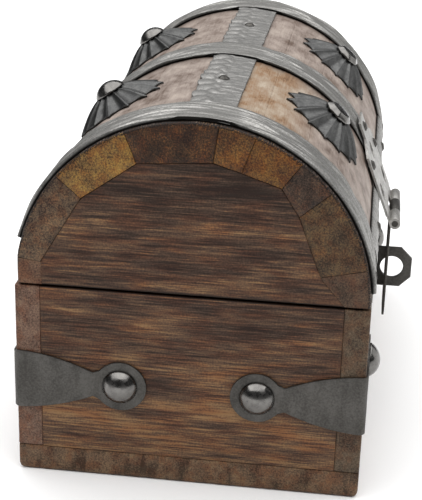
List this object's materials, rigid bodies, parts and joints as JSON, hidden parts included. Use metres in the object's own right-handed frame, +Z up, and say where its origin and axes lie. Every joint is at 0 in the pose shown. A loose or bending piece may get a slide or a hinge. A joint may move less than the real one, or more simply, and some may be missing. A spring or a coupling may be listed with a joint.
{
  "type": "treasure chest box",
  "caption": "Small wooden keepsake chest with an arched stave lid, hammered iron straps, pleated rosettes, corner brackets and a hasp for a padlock.",
  "frame": {"origin": "middle of the underside of the bottom board", "axes": "+X along the chest's length, the front with the hasp faces -Y, +Z up"},
  "size_m": [0.189, 0.1287, 0.1222],
  "materials": {
    "box_wood": "dark stained, satin",
    "stave_wood": "stained, worn, satin",
    "hammered_iron": "hammered, satin",
    "blackened_iron": "blackened, satin",
    "nail_iron": "gunmetal, half gloss"
  },
  "bodies": {
    "base": {"bottom_board": "box_wood", "front_wall": "box_wood", "back_wall": "box_wood", "left_end_panel": "box_wood", "right_end_panel": "box_wood", "corner_bracket_front_left": "blackened_iron", "corner_bracket_front_right": "blackened_iron", "corner_bracket_back_left": "blackened_iron", "corner_bracket_back_right": "blackened_iron", "corner_nails": "nail_iron", "padlock_staple": "blackened_iron", "staple_tacks": "blackened_iron", "hinge_left_base_leaf": "blackened_iron", "hinge_left_pin": "blackened_iron", "hinge_right_base_leaf": "blackened_iron", "hinge_right_pin": "blackened_iron", "hinge_base_tacks": "blackened_iron"},
    "lid": {"lid_front_rail": "stave_wood", "lid_stave_1": "stave_wood", "lid_stave_2": "stave_wood", "lid_stave_3": "stave_wood", "lid_stave_4": "stave_wood", "lid_stave_5": "stave_wood", "lid_stave_6": "stave_wood", "lid_stave_7": "stave_wood", "lid_back_rail": "stave_wood", "lid_left_end_panel": "box_wood", "lid_right_end_panel": "box_wood", "arch_strap_left": "hammered_iron", "arch_strap_middle": "hammered_iron", "arch_strap_right": "hammered_iron", "ridge_strip": "hammered_iron", "front_strip_left": "hammered_iron", "front_strip_right": "hammered_iron", "ridge_tacks": "blackened_iron", "front_strip_tacks": "blackened_iron", "strap_tacks": "blackened_iron", "rosette_front_left": "blackened_iron", "rosette_front_right": "blackened_iron", "rosette_back_left": "blackened_iron", "rosette_back_right": "blackened_iron", "rosette_nails": "nail_iron", "hinge_left_lid_leaf": "blackened_iron", "hinge_right_lid_leaf": "blackened_iron", "hinge_lid_tacks": "blackened_iron", "hasp_leaf": "blackened_iron", "hasp_tacks": "blackened_iron", "hasp_pin": "blackened_iron"},
    "flap": {"hasp_flap": "blackened_iron"}
  },
  "joints": [
    {"name": "lid_hinge", "type": "hinge", "parent": "base", "child": "lid", "pos_m": [0, 0.05705, 0.0654], "axis": [-1, 0, 0], "range_deg": [0, 110]},
    {"name": "hasp_hinge", "type": "hinge", "parent": "lid", "child": "flap", "pos_m": [0, -0.06156, 0.06651], "axis": [-1, 0, 0], "range_deg": [0, 200]}
  ]
}
